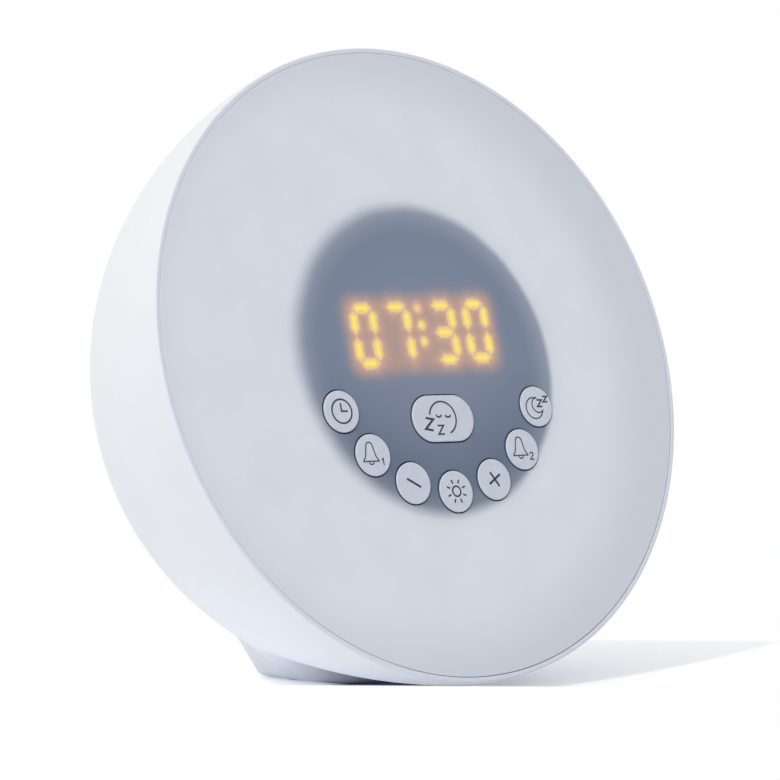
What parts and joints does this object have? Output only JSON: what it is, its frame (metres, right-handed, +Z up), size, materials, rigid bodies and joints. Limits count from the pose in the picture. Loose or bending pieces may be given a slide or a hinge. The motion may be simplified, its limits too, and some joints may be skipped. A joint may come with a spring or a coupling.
{
  "type": "sunrise alarm clock",
  "caption": "Leaning bowl-shaped wake-up light with a frosted glowing front disc, amber digits, an arc of push keys and a flared foot.",
  "frame": {"origin": "centre of the underside of the foot, on the surface that the clock stands on", "axes": "+Z up; the face looks towards -Y and leans back; +X to the viewer's right"},
  "size_m": [0.172, 0.1028, 0.1688],
  "materials": {
    "housing": "satin white moulding",
    "rubber": "matt",
    "frosted_disc": "frosted, with a soft dark zone in the middle and lit digits",
    "white_inner": "matt white",
    "shroud": "matt black",
    "circuit_board": "solder mask",
    "lamp_board": "white solder mask",
    "black_plastic": "fine matt",
    "lit_bar": "glowing amber",
    "lamp": "phosphor",
    "capacitor": "sleeve",
    "socket": "nylon",
    "ribbon": "flat cable",
    "lead": "wire insulation",
    "foam": "foam",
    "cone_paper": "treated paper",
    "ferrite": "ferrite",
    "plated_steel": "zinc plated",
    "cell_sleeve": "printed sleeve, bare of any marking",
    "key": "satin, with a thin line icon",
    "plunger": "moulded"
  },
  "bodies": {
    "clock": {"rear_housing": "housing", "foot_pads": "rubber", "front_disc": "frosted_disc", "reflector": "white_inner", "display_shroud": "shroud", "key_board": "circuit_board", "key_switches": "black_plastic", "display_module": "black_plastic", "display_segments": "lit_bar", "lamp_board": "lamp_board", "lamps": "lamp", "main_board": "circuit_board", "control_chips": "black_plastic", "capacitors": "capacitor", "board_sockets": "socket", "ribbon_cable": "ribbon", "lamp_leads": "lead", "speaker_gasket": "foam", "speaker_frame": "black_plastic", "speaker_cone": "cone_paper", "speaker_magnet": "ferrite", "speaker_leads": "lead", "power_jack": "black_plastic", "jack_pin": "plated_steel", "power_leads": "lead", "battery_cells": "cell_sleeve", "battery_springs": "plated_steel", "battery_contacts": "plated_steel", "battery_leads": "lead", "housing_screws": "plated_steel", "board_screws": "plated_steel", "speaker_screws": "plated_steel"},
    "clock_button": {"clock_key": "key", "clock_plunger": "plunger"},
    "first_alarm_button": {"first_alarm_key": "key", "first_alarm_plunger": "plunger"},
    "minus_button": {"minus_key": "key", "minus_plunger": "plunger"},
    "light_button": {"light_key": "key", "light_plunger": "plunger"},
    "plus_button": {"plus_key": "key", "plus_plunger": "plunger"},
    "second_alarm_button": {"second_alarm_key": "key", "second_alarm_plunger": "plunger"},
    "sleep_button": {"sleep_key": "key", "sleep_plunger": "plunger"},
    "snooze_button": {"snooze_key": "key", "snooze_plunger": "plunger"},
    "door": {"battery_door": "housing"}
  },
  "joints": [
    {"name": "clock_press", "type": "slide", "parent": "clock", "child": "clock_button", "axis": [0, 0.9593, -0.2823], "range_m": [0, 0.0006], "stiffness_N_per_m": 600, "springref_m": -0.0008},
    {"name": "first_alarm_press", "type": "slide", "parent": "clock", "child": "first_alarm_button", "axis": [0, 0.9593, -0.2823], "range_m": [0, 0.0006], "stiffness_N_per_m": 600, "springref_m": -0.0008},
    {"name": "minus_press", "type": "slide", "parent": "clock", "child": "minus_button", "axis": [0, 0.9593, -0.2823], "range_m": [0, 0.0006], "stiffness_N_per_m": 600, "springref_m": -0.0008},
    {"name": "light_press", "type": "slide", "parent": "clock", "child": "light_button", "axis": [0, 0.9593, -0.2823], "range_m": [0, 0.0006], "stiffness_N_per_m": 600, "springref_m": -0.0008},
    {"name": "plus_press", "type": "slide", "parent": "clock", "child": "plus_button", "axis": [0, 0.9593, -0.2823], "range_m": [0, 0.0006], "stiffness_N_per_m": 600, "springref_m": -0.0008},
    {"name": "second_alarm_press", "type": "slide", "parent": "clock", "child": "second_alarm_button", "axis": [0, 0.9593, -0.2823], "range_m": [0, 0.0006], "stiffness_N_per_m": 600, "springref_m": -0.0008},
    {"name": "sleep_press", "type": "slide", "parent": "clock", "child": "sleep_button", "axis": [0, 0.9593, -0.2823], "range_m": [0, 0.0006], "stiffness_N_per_m": 600, "springref_m": -0.0008},
    {"name": "snooze_press", "type": "slide", "parent": "clock", "child": "snooze_button", "axis": [0, 0.9593, -0.2823], "range_m": [0, 0.0006], "stiffness_N_per_m": 600, "springref_m": -0.0008},
    {"name": "door_lift_off", "type": "slide", "parent": "clock", "child": "door", "axis": [0, 0.9593, -0.2823], "range_m": [0, 0.015]}
  ]
}
